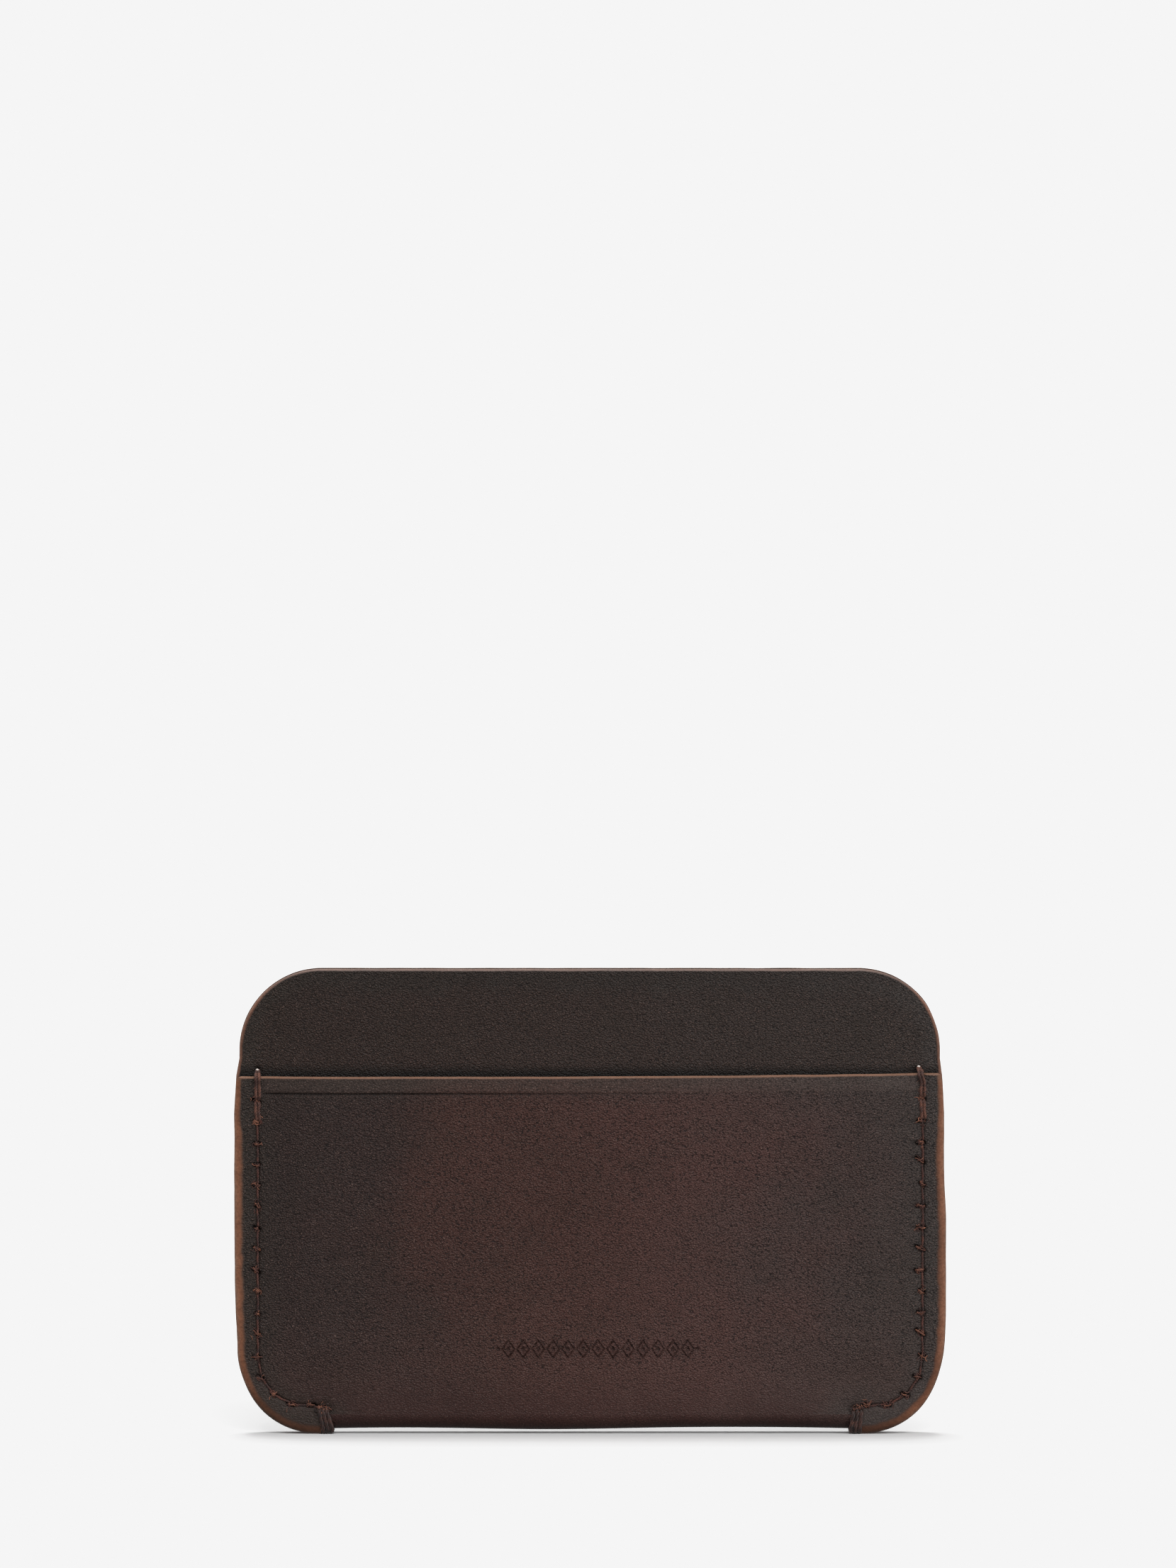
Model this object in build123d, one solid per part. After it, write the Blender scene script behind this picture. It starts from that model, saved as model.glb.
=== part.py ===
from build123d import *

import math
import os

# Slim leather business card case, standing on its folded bottom edge.
# Units are millimetres. +Z is up, the front faces -Y, and the origin is the
# middle of the bounding box's bottom.

# Overall size
WIDTH = 100.0  # across the pocket walls
HEIGHT = 65.4  # to the top edge of the back divider
MOUTH_HEIGHT = 50.4  # the edge of both outer pockets
FRONT_DIVIDER_HEIGHT = 65.3

# Leather sheets, sewn face to face along the border
WRAP_THICKNESS = 1.1
DIVIDER_THICKNESS = 1.0
BORDER_HALF = DIVIDER_THICKNESS + WRAP_THICKNESS  # half the sewn stack's depth

# Room for cards inside the seams, where the sheets stand apart
CENTRE_GAP = 0.8  # between the two dividers
SLOT_GAP = 0.5  # between a divider and the wall outside it
DIVIDER_RISE = CENTRE_GAP / 2
WALL_RISE = DIVIDER_RISE + SLOT_GAP

# Side profile of the sheets, each half about the centre line
MOUTH_HALF_WIDTH = WIDTH / 2 - 0.25  # the walls draw in a little at the mouth
NECK_HALF_WIDTH = WIDTH / 2 - 0.5  # the dividers above the mouth
FLARE_HEIGHT = 45.0  # below this the sides are straight
NECK_HEIGHT = 51.6
TOP_RADIUS = 11.1
BOTTOM_RADIUS = 11.8

# The bottom: a fold between the bar tacks, flat cut lobes outside them
LOBE_END = WIDTH / 2 - BOTTOM_RADIUS  # where the corner arc meets the base
FOLD_END = 36.6
NOTCH_HEIGHT = 0.55  # the edge pulled up under a bar tack
FOLD_CLEARANCE = 0.7  # the fold's lowest line above the base
FOLD_AXIS = FOLD_CLEARANCE + BORDER_HALF
DIVIDER_CLEARANCE = 0.1  # dividers end this far above the fold's axis

# The card area: a shallow raised field with sloping margins
FIELD_MARGIN = 4.6  # from the side edge to the foot of the slope
FIELD_FLOOR = 5.0
FIELD_RADIUS = 5.5
SLOPE = 4.4  # width of the sloping margin
CREST_RADIUS = 4.0
OVERRUN = 20.0  # how far the field is drawn past the sheet's top edge

# Seams
SEAM_INSET = 3.3
SEAM_FLOOR = 3.7
SEAM_RADIUS = 6.5
SEAM_TOP = 47.0  # the first hole through the walls
SEAM_END = 38.9  # half distance from the last hole on one side to the other
STITCHES = 16
START_HOLE = 51.2  # the hole above the mouth, through the dividers only
HOLE_RADIUS = 0.375
DIMPLE_RADIUS = 0.5
GROOVE_WIDTH = 0.64
GROOVE_DEPTH = 0.35
THREAD_RADIUS = 0.275
KNOT_RADIUS = 0.34
KNOT_HEIGHT = 0.5
KNOT_LIFT = 0.05  # clear of the groove's floor
LEG_RADIUS = 0.24
NUB_RADIUS = 0.6
NUB_HEIGHT = 0.45

# Where a thread steps over the mouth: (distance from the mid-plane, height)
OVER_MOUTH = ((BORDER_HALF + 0.1, MOUTH_HEIGHT + 0.45), (BORDER_HALF + 0.38, MOUTH_HEIGHT))
STEP_BEND = 0.3

# Bar tacks round the bottom edge, at each end of the fold
TACK_X = (LOBE_END + FOLD_END) / 2
TACK_STRANDS = 3
TACK_RADIUS = 0.25
TACK_PITCH = 0.45
TACK_BEND = 0.28
TACK_FLOOR = NOTCH_HEIGHT - TACK_RADIUS  # the strands' axis under the edge
TACK_TOP = 4.0
TACK_SLOT = (1.5, 0.7)  # the slit that the strands pass through

LEFT, RIGHT = -1, 1


def front_plane(distance):
    """The XZ plane that far in front of the middle, facing the front."""
    return Plane.XZ.offset(distance)


def to_back(shape):
    """The same shape behind the middle."""
    return mirror(shape, Plane.XZ)


def base_outline():
    """The lower half-outline that all four sheets share, from fold to flare."""
    return [
        Line((FOLD_END, NOTCH_HEIGHT), (LOBE_END, NOTCH_HEIGHT)),
        Line((LOBE_END, NOTCH_HEIGHT), (LOBE_END, 0)),
        RadiusArc((LOBE_END, 0), (WIDTH / 2, BOTTOM_RADIUS), -BOTTOM_RADIUS),
        Line((WIDTH / 2, BOTTOM_RADIUS), (WIDTH / 2, FLARE_HEIGHT)),
        Line((WIDTH / 2, FLARE_HEIGHT), (MOUTH_HALF_WIDTH, MOUTH_HEIGHT)),
    ]


def symmetric_face(half, low, high):
    """A face from its right half's edges, closed at two heights."""
    whole = half + [mirror(edge, Plane.YZ) for edge in half]
    first, last = half[0] @ 0, half[-1] @ 1
    whole.append(Line((-first.X, low), (first.X, low)))
    whole.append(Line((-last.X, high), (last.X, high)))
    return make_face(Curve() + whole)


def wall_outline():
    """One outer wall, above the fold's axis between the bar tacks."""
    half = [Line((FOLD_END, FOLD_AXIS), (FOLD_END, NOTCH_HEIGHT))] + base_outline()
    return symmetric_face(half, FOLD_AXIS, MOUTH_HEIGHT)


def divider_outline(height):
    """One divider, which stands above the walls with rounded top corners."""
    foot = FOLD_AXIS + DIVIDER_CLEARANCE
    shoulder = height - TOP_RADIUS
    corner = NECK_HALF_WIDTH - TOP_RADIUS
    half = [Line((FOLD_END, foot), (FOLD_END, NOTCH_HEIGHT))] + base_outline()
    half += [
        Line((MOUTH_HALF_WIDTH, MOUTH_HEIGHT), (NECK_HALF_WIDTH, NECK_HEIGHT)),
        Line((NECK_HALF_WIDTH, NECK_HEIGHT), (NECK_HALF_WIDTH, shoulder)),
        RadiusArc((NECK_HALF_WIDTH, shoulder), (corner, height), -TOP_RADIUS),
    ]
    return symmetric_face(half, foot, height)


def field_outline(inset, radius):
    """The card area's outline, or its crest when inset by the slope."""
    floor, top = FIELD_FLOOR + inset, HEIGHT + OVERRUN
    half_width = WIDTH / 2 - FIELD_MARGIN - inset
    shape = RectangleRounded(2 * half_width, top - floor, radius)
    return Pos(0, (top + floor) / 2) * shape


def field(distance, rise):
    """The raised card area as a solid, from a plane outward by its rise."""
    foot = front_plane(distance) * field_outline(0, FIELD_RADIUS)
    crest = front_plane(distance + rise) * field_outline(SLOPE, CREST_RADIUS)
    return loft([foot, crest])


def sheet(outline, inner, thickness, rise):
    """A front sheet of even thickness, bowed forward over the card area."""
    prism = extrude(front_plane(inner) * outline, thickness + rise)
    flat = extrude(front_plane(inner) * outline, thickness)
    bow = field(inner + thickness, rise) & prism
    return flat + bow - field(inner, rise)


def fold():
    """The rounded bottom that joins the front wall to the back wall."""
    ring = Circle(BORDER_HALF) - Circle(DIVIDER_THICKNESS)
    lower = Pos(0, -BORDER_HALF) * Rectangle(4 * BORDER_HALF, 2 * BORDER_HALF)
    section = Plane.YZ * Pos(0, FOLD_AXIS) * (ring & lower)
    return extrude(section, FOLD_END, both=True)


def seam_holes(side):
    """The holes through the walls, evenly spaced from the mouth to the tack."""
    x_line = WIDTH / 2 - SEAM_INSET
    turn_x, turn_z = x_line - SEAM_RADIUS, SEAM_FLOOR + SEAM_RADIUS
    straight = SEAM_TOP - turn_z
    arc = SEAM_RADIUS * math.pi / 2
    total = straight + arc + turn_x - SEAM_END
    points = []
    for i in range(STITCHES + 1):
        s = total * i / STITCHES
        if s <= straight:
            x, z = x_line, SEAM_TOP - s
        elif s <= straight + arc:
            angle = (s - straight) / SEAM_RADIUS
            x = turn_x + SEAM_RADIUS * math.cos(angle)
            z = turn_z - SEAM_RADIUS * math.sin(angle)
        else:
            x, z = turn_x - (s - straight - arc), SEAM_FLOOR
        points.append((side * x, z))
    return points


def start_hole(side):
    """The hole above the mouth where a seam begins."""
    return side * (WIDTH / 2 - SEAM_INSET), START_HOLE


def discs(points, radius):
    """One round face per point, on a sheet's own plane."""
    return Sketch() + [Pos(x, z) * Circle(radius) for x, z in points]


def groove(side):
    """The pressed channel that a seam's thread lies in, as a flat shape."""
    holes = seam_holes(side)
    runs = [(holes[0][0], MOUTH_HEIGHT + GROOVE_WIDTH)] + holes
    shape = discs(holes, DIMPLE_RADIUS)
    for (x0, z0), (x1, z1) in zip(runs, runs[1:]):
        angle = math.degrees(math.atan2(z1 - z0, x1 - x0))
        length = math.hypot(x1 - x0, z1 - z0)
        middle = Pos((x0 + x1) / 2, (z0 + z1) / 2)
        shape += middle * Rot(0, 0, angle) * Rectangle(length, GROOVE_WIDTH)
    return shape


def needle_cuts(points, radius):
    """Round holes through the whole stack."""
    depth = 2 * BORDER_HALF
    return extrude(front_plane(0) * discs(points, radius), depth, both=True)


def tack_slits():
    """The slits that the bar tacks pass through, near the fold's ends."""
    slits = [Pos(side * TACK_X, 0, TACK_TOP) for side in (LEFT, RIGHT)]
    width, height = TACK_SLOT
    return [at * Box(width, 4 * BORDER_HALF, height) for at in slits]


def outer_wrap():
    """One piece of leather: front wall, bottom fold and back wall."""
    front = sheet(wall_outline(), DIVIDER_THICKNESS, WRAP_THICKNESS, WALL_RISE)
    grooves = groove(LEFT) + groove(RIGHT)
    front -= extrude(front_plane(BORDER_HALF - GROOVE_DEPTH) * grooves, 1)
    body = front + to_back(front) + fold()
    holes = seam_holes(LEFT) + seam_holes(RIGHT)
    return body - needle_cuts(holes, HOLE_RADIUS) - tack_slits()


def divider(height):
    """A tall sheet in front of the middle, sewn in between the walls."""
    panel = sheet(divider_outline(height), 0, DIVIDER_THICKNESS, DIVIDER_RISE)
    starts = [start_hole(LEFT), start_hole(RIGHT)]
    holes = seam_holes(LEFT) + seam_holes(RIGHT) + starts
    dimples = front_plane(DIVIDER_THICKNESS - GROOVE_DEPTH) * discs(starts, DIMPLE_RADIUS)
    panel -= extrude(dimples, 1)
    return panel - needle_cuts(holes, HOLE_RADIUS) - tack_slits()


def rod(start, end, radius):
    """A round bar between two points."""
    a, b = Vector(*start), Vector(*end)
    return extrude(Plane(a, z_dir=b - a) * Circle(radius), (b - a).length)


def bent_rod(points, bend, radius):
    """A round bar through several points, with rounded corners."""
    route = FilletPolyline(*points, radius=bend)
    start = Plane(route @ 0, z_dir=route % 0)
    return sweep(start * Circle(radius), path=route)


def seam_thread(side):
    """One thread of a lock-stitched seam, in front of the middle.

    It lies in the groove, dips into each hole as far as the middle, where the
    thread from the other face meets it, and steps over the mouth to a fused
    nub on the divider.
    """
    floor = BORDER_HALF - GROOVE_DEPTH
    lie = -(floor + THREAD_RADIUS)
    holes = [(x, lie, z) for x, z in seam_holes(side)]
    start_x, start_z = start_hole(side)
    nub = (start_x, -(DIVIDER_THICKNESS + THREAD_RADIUS), start_z)
    steps = [(start_x, -distance, z) for distance, z in OVER_MOUTH]
    pieces = [bent_rod([nub] + steps + holes[:1], STEP_BEND, THREAD_RADIUS)]
    pieces += [rod(a, b, THREAD_RADIUS) for a, b in zip(holes, holes[1:])]
    pieces += [rod((x, 0, z), (x, y, z), LEG_RADIUS) for x, y, z in holes + [nub]]
    for x, _, z in holes:
        base = floor + KNOT_LIFT
        pieces.append(rod((x, -base, z), (x, -(base + KNOT_HEIGHT), z), KNOT_RADIUS))
    face = (start_x, -DIVIDER_THICKNESS, start_z)
    top = (start_x, -(DIVIDER_THICKNESS + NUB_HEIGHT), start_z)
    pieces.append(rod(face, top, NUB_RADIUS))
    return Part() + pieces


def bar_tack(side):
    """Strands wound through the slit and round the bottom edge."""
    reach = BORDER_HALF + TACK_BEND
    middle = (TACK_TOP + TACK_FLOOR) / 2
    loop = RectangleRounded(2 * reach, TACK_TOP - TACK_FLOOR, TACK_BEND)
    section = Plane((0, reach, middle), z_dir=(0, 0, 1)) * Circle(TACK_RADIUS)
    route = (Plane.YZ * Pos(0, middle) * loop).wire()
    strand = sweep(section, path=route)
    first = TACK_X - TACK_PITCH * (TACK_STRANDS - 1) / 2
    places = [side * (first + TACK_PITCH * i) for i in range(TACK_STRANDS)]
    return Part() + [Pos(x, 0, 0) * strand for x in places]


def nodes():
    """Every separate piece of the case, by name."""
    pieces = {
        "outer_wrap": outer_wrap(),
        "front_divider": divider(FRONT_DIVIDER_HEIGHT),
        "back_divider": to_back(divider(HEIGHT)),
    }
    for name, side in (("left", LEFT), ("right", RIGHT)):
        thread = seam_thread(side)
        pieces[name + "_needle_thread"] = thread
        pieces[name + "_bobbin_thread"] = to_back(thread)
        pieces[name + "_bar_tack"] = bar_tack(side)
    return pieces


os.makedirs("parts", exist_ok=True)
for node, shape in nodes().items():
    export_step(shape, f"parts/{node}.step")
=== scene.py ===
import math
import random

import bmesh
import bpy
import numpy as np
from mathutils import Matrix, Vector, noise
from mathutils.geometry import delaunay_2d_cdt


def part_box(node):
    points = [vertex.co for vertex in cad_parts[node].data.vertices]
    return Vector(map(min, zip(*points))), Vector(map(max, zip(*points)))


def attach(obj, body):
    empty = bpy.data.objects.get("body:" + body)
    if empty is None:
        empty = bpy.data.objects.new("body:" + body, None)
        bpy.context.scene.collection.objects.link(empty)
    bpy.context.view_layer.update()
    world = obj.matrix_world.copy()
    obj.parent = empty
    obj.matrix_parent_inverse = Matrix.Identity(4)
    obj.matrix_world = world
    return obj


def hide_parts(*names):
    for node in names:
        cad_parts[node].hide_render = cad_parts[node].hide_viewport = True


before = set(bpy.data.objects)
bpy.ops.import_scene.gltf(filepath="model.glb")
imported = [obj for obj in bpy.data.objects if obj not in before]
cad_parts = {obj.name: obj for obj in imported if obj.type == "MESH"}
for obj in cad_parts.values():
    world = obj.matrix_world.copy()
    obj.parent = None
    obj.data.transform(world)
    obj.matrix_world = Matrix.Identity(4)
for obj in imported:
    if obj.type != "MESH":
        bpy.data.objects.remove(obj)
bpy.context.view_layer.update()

# The case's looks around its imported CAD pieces. Lengths are in millimetres until
# a mesh is made, where MM turns them into metres. The front faces -Y. "Depth" is
# a point's distance from the middle of the case, forward on the front half and
# backward on the back half, so both halves use the same shapes.
MM = 0.001
FRONT, BACK = -1, 1
LEFT, RIGHT = -1, 1

# Sizes that the CAD pieces give
wrap_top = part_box("outer_wrap")[1]
HALF_WIDTH = wrap_top.x / MM
MOUTH = wrap_top.z / MM
CREST_DEPTH = wrap_top.y / MM
DIVIDER_TOP = {side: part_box(name)[1].z / MM
               for side, name in ((FRONT, "front_divider"), (BACK, "back_divider"))}

# Leather sheets, as in the CAD model. Their side edges draw in from FLARE_HEIGHT up, and
# a divider's are upright again above NECK_HEIGHT. A lobe is a rounded bottom corner. A
# slit and a notch part it from the fold that joins the walls between the lobes.
WRAP_THICKNESS = 1.1
DIVIDER_THICKNESS = 1.0
BORDER_DEPTH = WRAP_THICKNESS + DIVIDER_THICKNESS
WALL_RISE = CREST_DEPTH - BORDER_DEPTH
DIVIDER_RISE = 0.4
CLEARANCE = 0.02
MOUTH_HALF_WIDTH = HALF_WIDTH - 0.25
NECK_HALF_WIDTH = HALF_WIDTH - 0.7
FLARE_HEIGHT = 45.0
NECK_HEIGHT = 52.8
TOP_RADIUS = 11.5
BOTTOM_RADIUS = 11.8
LOBE_END = HALF_WIDTH - BOTTOM_RADIUS
LOBE_FOOT = LOBE_END - 0.3
FOLD_END = 37.35
CAD_FOLD_END = 36.6
SLIT_END = 37.45
NOTCH_HEIGHT = 0.55
FOLD_AXIS = 0.7 + BORDER_DEPTH
DIVIDER_FOOT = FOLD_AXIS + 0.1

# Finish of the cut edges: ROUND is a radius in the sheet's thickness, BAND is how far
# the tan of the cut reaches onto the face
SIDE_ROUND = 0.95
SIDE_BAND = 1.25
MOUTH_ROUND = 0.3
MOUTH_BAND = 0.85
RIM_ROUND = 0.5
TOP_RIM_ROUND = 0.3
INNER_ROUND = 0.1
DIVIDER_INNER_ROUND = 0.15
MOUTH_CORNER = 0.8

# Seams: each runs down, round a bend about (TURN_X, TURN_Z) and inward to its bar tack,
# which stands where the CAD has the notch. START_HOLE is the hole in the dividers above
# the mouth. Below TANGLED_BELOW the knots carry bigger tangles.
SEAM_X = HALF_WIDTH - 3.3
SEAM_FLOOR = 3.95
SEAM_RADIUS = 6.5
TURN_X = SEAM_X - SEAM_RADIUS
TURN_Z = SEAM_FLOOR + SEAM_RADIUS
SEAM_TOP = 47.0
SEAM_END = 38.9
STITCHES = 16
START_HOLE = 51.2
START_SHIFT = {LEFT: 0.0, RIGHT: -0.5}
THREAD_RADIUS = 0.17
STRAND_RADIUS = 0.23
TACK_X = (LOBE_END + CAD_FOLD_END) / 2
TACK_SHIFT = {LEFT: 0.2, RIGHT: 0.0}
TACK_LEAN = {LEFT: 0.3, RIGHT: -0.14}
TACK_TOP = 3.4
TACK_RADIUS = 0.3
TACK_PITCH = 0.55
TANGLED_BELOW = 16.0

# What is drawn or pressed into the leather, each as its depth and its width
SEAM_PULL = (0.11, 1.0)
SEAM_GROOVE = (0.32, 0.22)
SLIT = (0.45, 0.23)
TACK_DIMPLE = (0.22, 0.75)
START_FUNNEL = (0.4, 0.34)
CREASE = (0.17, 0.15)

# How far the crease is below the mouth, and the ornament's place, half size and pitch
CREASE_DROP = 2.45
ORNAMENT = (1.1, 12.0)
ORNAMENT_HALF = (14.0, 1.2)
ORNAMENT_PITCH = 2.1
ORNAMENT_DEPTH = 0.18

# Seeds of the sheets' small unevenness
WALL_SEED = {FRONT: 1, BACK: 5}
DIVIDER_SEED = {FRONT: 11, BACK: 15}


def smooth(t):
    """0 to 1 with soft ends."""
    t = np.clip(t, 0.0, 1.0)
    return t * t * (3 - 2 * t)


def bell(distance, width):
    """1 at the middle, falling off over a width."""
    return np.exp(-(distance / width) ** 2)


def press(distance, shape):
    """How deep a pressed mark is, by distance from it and its (depth, width)."""
    depth, width = shape
    return depth * bell(distance, width)


def round_off(inset, radius):
    """How far a rounded edge drops below the surface, by distance from the edge."""
    t = np.clip(radius - inset, 0.0, None)
    return radius - np.sqrt(np.clip(radius ** 2 - t ** 2, 0.0, None))


def waves(x, z, length, seed):
    """Smooth noise from -1 to 1 over a sheet, with a given wavelength."""
    return np.array([noise.noise(Vector((a / length, b / length, seed * 7.3)))
                     for a, b in zip(x, z)])


def distance_to(x, z, path):
    """Each point's distance to an open path."""
    best = np.full(len(x), np.inf)
    for (ax, az), (bx, bz) in zip(path[:-1], path[1:]):
        ux, uz = bx - ax, bz - az
        t = np.clip(((x - ax) * ux + (z - az) * uz) / (ux * ux + uz * uz), 0, 1)
        best = np.minimum(best, (x - ax - t * ux) ** 2 + (z - az - t * uz) ** 2)
    return np.sqrt(best)


def inside(x, z, outline):
    """True for the points within a closed outline."""
    hit = np.zeros(len(x), bool)
    for (ax, az), (bx, bz) in zip(outline, np.roll(outline, -1, axis=0)):
        if az != bz:
            crosses = (az > z) != (bz > z)
            hit ^= crosses & (x < ax + (z - az) * (bx - ax) / (bz - az))
    return hit


# ---- outlines

def straight(start, end, step):
    """Points from start up to but not at the end, evenly spaced."""
    count = max(1, round(math.dist(start, end) / step))
    t = np.arange(count)[:, None] / count
    return np.array(start) * (1 - t) + np.array(end) * t


def through(corners, step):
    """Points along straight lines through corners, up to but not at the last one."""
    return np.vstack([straight(a, b, step) for a, b in zip(corners, corners[1:])])


def arc(centre, radius, first, last, step):
    """Points round an arc, in degrees, up to but not at its end."""
    count = max(2, round(radius * abs(math.radians(last - first)) / step))
    angle = np.radians(first + (last - first) * np.arange(count) / count)
    return np.array(centre) + radius * np.column_stack([np.cos(angle), np.sin(angle)])


def side_run(step):
    """The right side edge from the lobe's end on the base up to the flare."""
    return np.vstack([arc((LOBE_END, BOTTOM_RADIUS), BOTTOM_RADIUS, -90, 0, step),
                      straight((HALF_WIDTH, BOTTOM_RADIUS), (HALF_WIDTH, FLARE_HEIGHT), step)])


def mirrored(half):
    """A right half-outline, run upward, closed by its mirror image, run down."""
    return np.vstack([half, (half * (-1, 1))[::-1]])


def wall_outline(step):
    """One outer wall: the joint with the fold comes last, from left to right."""
    top = MOUTH_HALF_WIDTH - MOUTH_CORNER
    corner = (top, MOUTH - MOUTH_CORNER)
    foot = through([(FOLD_END, FOLD_AXIS), (SLIT_END, FOLD_AXIS), (SLIT_END, NOTCH_HEIGHT),
                    (LOBE_FOOT, NOTCH_HEIGHT), (LOBE_FOOT, 0), (LOBE_END, 0)], step)
    ring = mirrored(np.vstack([
        foot, side_run(step),
        straight((HALF_WIDTH, FLARE_HEIGHT), (MOUTH_HALF_WIDTH, corner[1]), step),
        arc(corner, MOUTH_CORNER, 0, 90, step / 2),
        straight((top, MOUTH), (step / 2, MOUTH), step)]))
    return np.vstack([ring, straight((-FOLD_END, FOLD_AXIS), (FOLD_END, FOLD_AXIS), 0.8)[1:]])


def wall_cut_path(step):
    """The right side edge of a wall, up to its mouth."""
    end = (MOUTH_HALF_WIDTH, MOUTH + 1)
    return np.vstack([side_run(step), straight((HALF_WIDTH, FLARE_HEIGHT), end, step), [end]])


def divider_run(height, step):
    """The right edge of a divider from its lobe to the middle of its top."""
    shoulder, corner = height - TOP_RADIUS, NECK_HALF_WIDTH - TOP_RADIUS
    flank = through([(HALF_WIDTH, FLARE_HEIGHT), (MOUTH_HALF_WIDTH, MOUTH),
                     (NECK_HALF_WIDTH, NECK_HEIGHT), (NECK_HALF_WIDTH, shoulder)], step)
    return np.vstack([side_run(step), flank, arc((corner, shoulder), TOP_RADIUS, 0, 90, step),
                      straight((corner, height), (step / 2, height), step)])


def divider_outline(height, step):
    """One divider, whose foot stands just above the fold."""
    foot = through([(FOLD_END, DIVIDER_FOOT), (FOLD_END, NOTCH_HEIGHT), (LOBE_END, NOTCH_HEIGHT),
                    (LOBE_END, 0)], step)
    ring = mirrored(np.vstack([foot, divider_run(height, step)]))
    return np.vstack([ring, straight((-FOLD_END, DIVIDER_FOOT), (FOLD_END, DIVIDER_FOOT), 2)[1:]])


def seam_holes(side):
    """The stitch holes through the walls, from the mouth to the bar tack."""
    down = SEAM_TOP - TURN_Z
    bend = SEAM_RADIUS * math.pi / 2
    total = down + bend + TURN_X - SEAM_END
    holes = []
    for i in range(STITCHES + 1):
        s = total * i / STITCHES
        angle = min(max(s - down, 0) / SEAM_RADIUS, math.pi / 2)
        x = TURN_X + SEAM_RADIUS * math.cos(angle) - max(s - down - bend, 0)
        z = TURN_Z - SEAM_RADIUS * math.sin(angle) + max(down - s, 0)
        holes.append((side * x, z))
    return np.array(holes)


def slits(side):
    """The slanting slit that the awl left at each hole, as short lines."""
    rng = random.Random(40 + side)
    shifts = [rng.uniform(-0.22, 0.22) for _ in range(STITCHES + 1)]
    longest = 0.7 if side == LEFT else 1.05
    right = 0.18
    lines = []
    for (x, z), shift in zip(seam_holes(side), shifts):
        left, slant = rng.uniform(0.15, longest), rng.uniform(-0.1, 0.8)
        middle = z + shift
        lines.append(np.array([(x - left, middle + left * slant), (x + right, middle - right * slant)]))
    return lines


def seam_line(side):
    """The whole line of a seam, from above the mouth to the bar tack."""
    return np.vstack([[(side * SEAM_X, START_HOLE)], seam_holes(side),
                      [(side * TACK_X, TACK_TOP + 0.2)]])


# ---- surfaces

# The line that the bow is measured from: the right seam, run on past both its ends
FENCE = np.vstack([[(SEAM_X, DIVIDER_TOP[BACK] + 20)],
                   seam_line(RIGHT)[1:], [(TACK_X, SEAM_FLOOR)]])


def bow(x, z):
    """How far a sheet stands out over the card area: 0 at the seams, 1 inside."""
    ax = np.abs(x)
    reach = np.sqrt(np.clip(SEAM_RADIUS ** 2 - np.clip(TURN_Z - z, 0, SEAM_RADIUS) ** 2, 0, None))
    limit = np.where(z < SEAM_FLOOR, TACK_X, TURN_X + reach)
    away = np.where(ax < limit, distance_to(ax, z, FENCE), 0.0)
    ease_in, ease_up, foot_share = 8.5, 11, 0.35
    height = foot_share + (1 - foot_share) * smooth((z - FOLD_AXIS) / ease_up)
    return smooth(away / ease_in) * height


def between_seams(x):
    """1 between the seams, falling off just before them."""
    return smooth((SEAM_X - 0.5 - np.abs(x)) / 0.4)


def diamond(x, z, half):
    """Signed distance to a diamond's outline, by its half-diagonals."""
    span = math.hypot(*half)
    return (np.abs(x) / half[0] + np.abs(z) / half[1] - 1) * half[0] * half[1] / span


def ornament(x, z):
    """Depth of the pressed ornament: a row of small diamonds between two beads."""
    u, v = x - ORNAMENT[0], z - ORNAMENT[1]
    long, tall = ORNAMENT_HALF
    last = math.floor(long / ORNAMENT_PITCH)
    across = u - ORNAMENT_PITCH * np.clip(np.round(u / ORNAMENT_PITCH), -last, last)
    line_width, bead_radius, slope = 0.18, 0.22, 0.16
    frame_line = np.abs(diamond(across, v, (0.85, tall))) - line_width / 2
    core = diamond(across, v, (0.3, 0.42))
    beads = np.hypot(np.abs(u) - long, v) - bead_radius
    nearest = np.minimum.reduce([frame_line, core, beads])
    return ORNAMENT_DEPTH * smooth(0.5 - nearest / slope)


def seam_pull(x, z):
    """The broad hollow that the thread draws the leather down into."""
    away = np.minimum(distance_to(x, z, seam_line(LEFT)), distance_to(x, z, seam_line(RIGHT)))
    return press(away, SEAM_PULL), away


def seam_press(x, z):
    """The groove and the slits at the holes, and the painted shade they put on each point, 0 to 1."""
    away = seam_pull(x, z)[1]
    near = np.min([distance_to(x, z, slit) for side in (LEFT, RIGHT) for slit in slits(side)], axis=0)
    dark = np.maximum(0.75 * bell(away, SEAM_GROOVE[1]), 1.15 * bell(near, 0.36))
    return press(away, SEAM_GROOVE) + press(near, SLIT), dark


def tack_press(x, z):
    """The dimple that a bar tack draws round its top, and the painted shade it puts on each point."""
    longer = 1.25
    near = np.min([np.hypot((x - side * TACK_X - TACK_SHIFT[side]) / longer, z - TACK_TOP - 0.2)
                   for side in (LEFT, RIGHT)], axis=0)
    return press(near, TACK_DIMPLE), 0.75 * bell(near, 0.62)


def start_press(x, z):
    """The funnels of the start holes in a divider, and the painted shade they put on each point."""
    near = np.min([np.hypot(x - side * SEAM_X - START_SHIFT[side], z - START_HOLE)
                   for side in (LEFT, RIGHT)], axis=0)
    return press(near, START_FUNNEL), bell(near, 0.45)


def strip(x, z):
    """1 on the smooth strip that is pressed along the mouth between the seams."""
    drop = MOUTH - z
    return smooth((CREASE_DROP + 0.1 - drop) / 0.3) * between_seams(x)


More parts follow.
